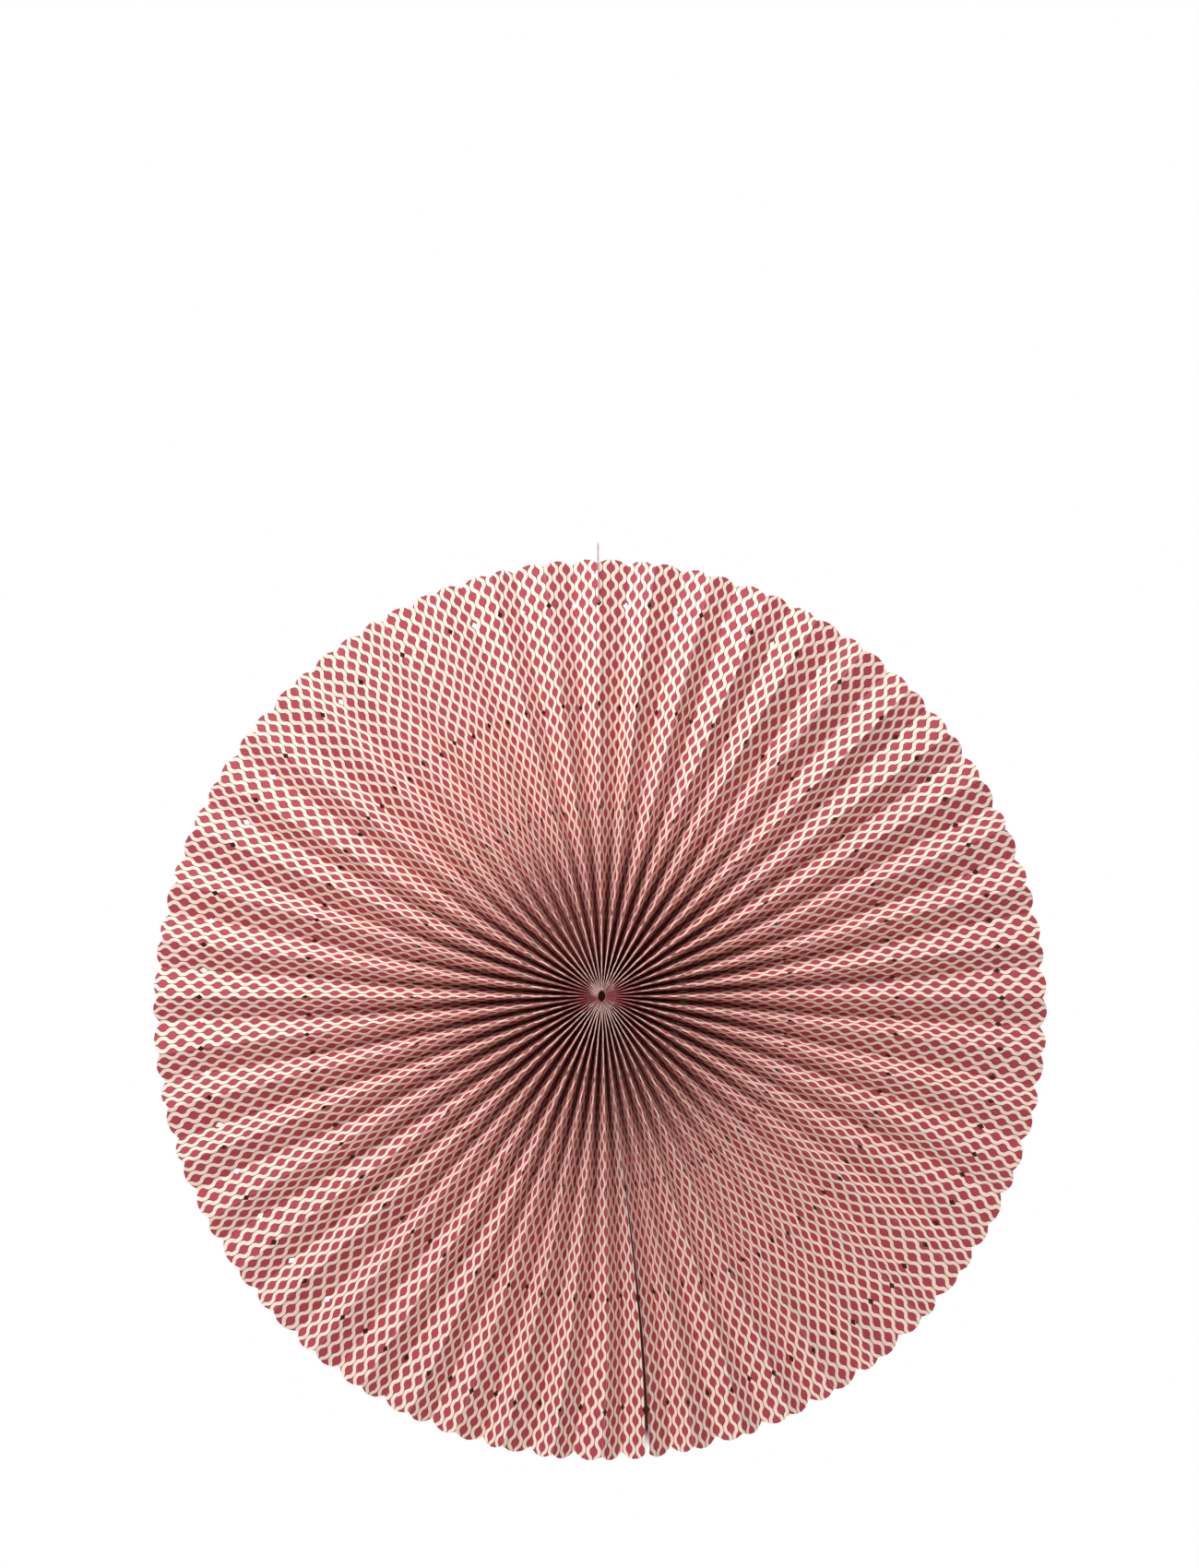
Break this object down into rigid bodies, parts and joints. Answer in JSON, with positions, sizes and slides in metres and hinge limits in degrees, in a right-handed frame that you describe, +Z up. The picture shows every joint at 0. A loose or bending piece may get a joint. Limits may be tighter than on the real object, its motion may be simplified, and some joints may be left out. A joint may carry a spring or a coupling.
{
  "type": "paper fan rosette",
  "caption": "Round pleated paper fan with a scalloped rim, rings of diamond holes at the folds, a gathered hub and a small hanging loop of thread.",
  "frame": {"origin": "centre of the hub hole, midway between the fan's front and back", "axes": "+Z up towards the hanging loop, +Y along the fan's axis towards its back, +X to the right seen from the front"},
  "size_m": [0.5998, 0.022, 0.6116],
  "materials": {
    "printed_paper": "matt paper printed with rose red lozenges in a cream net",
    "sewing_thread": "undyed cotton thread",
    "hanging_thread": "pale mauve twisted thread"
  },
  "bodies": {
    "root": {"long_pleated_sheet": "printed_paper", "short_pleated_sheet": "printed_paper", "gathering_thread": "sewing_thread", "hanging_thread": "hanging_thread", "hanging_knot": "hanging_thread"}
  },
  "joints": []
}
